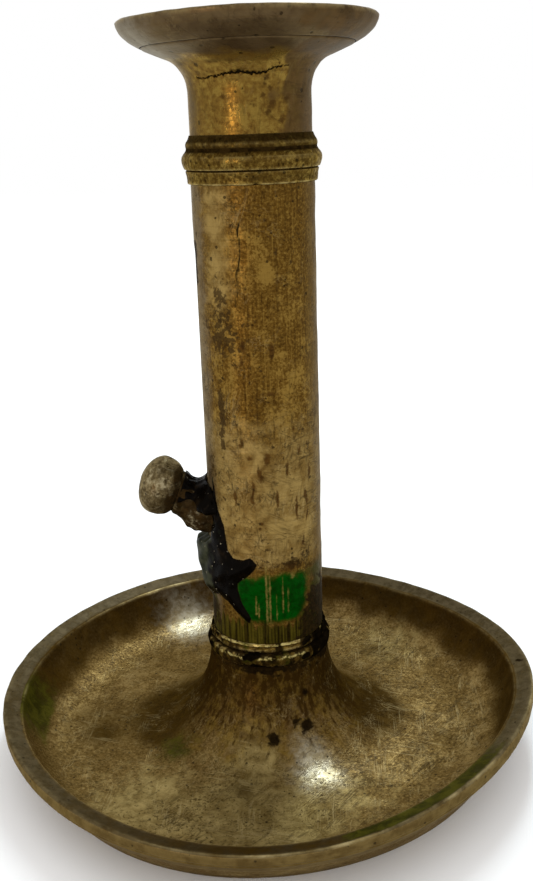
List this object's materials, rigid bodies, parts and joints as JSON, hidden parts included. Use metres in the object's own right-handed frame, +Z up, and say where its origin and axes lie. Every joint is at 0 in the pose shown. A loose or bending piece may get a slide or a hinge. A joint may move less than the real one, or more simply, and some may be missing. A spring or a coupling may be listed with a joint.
{
  "type": "candle holder",
  "caption": "Brass chamber candlestick: dished pan with trumpet foot, slotted tubular stem, flared drip lip and a side knob that pushes the candle up.",
  "frame": {"origin": "on the stem's axis at the table plane under the pan's flat ring", "axes": "+Z up along the stem; slot and knob towards -X; +Y away from the viewer of the picture"},
  "size_m": [0.123, 0.123, 0.1586],
  "materials": {
    "pan_brass": "dull aged brass, brown-khaki, finely scratched",
    "stem_brass": "aged brass with dark vertical streaks and grime",
    "lip_brass": "grey-brown tarnished brass",
    "collar_brass": "worn brass with dark grime in the grooves",
    "knob_brass": "rubbed greyish brass",
    "inner_brass": "dark unpolished brass",
    "shank_brass": "dark, grimy brass"
  },
  "bodies": {
    "candlestick": {"base_pan": "pan_brass", "lower_collar": "collar_brass", "stem_tube": "stem_brass", "upper_collar": "collar_brass", "candle_nozzle": "lip_brass"},
    "ejector": {"ejector_sleeve": "inner_brass", "candle_platform": "inner_brass", "ejector_shank": "shank_brass", "shank_saddle": "inner_brass", "knob_neck": "knob_brass", "knob_button": "knob_brass"}
  },
  "joints": [
    {"name": "ejector_slide", "type": "slide", "parent": "candlestick", "child": "ejector", "axis": [0, 0, 1], "range_m": [0, 0.0547]}
  ]
}
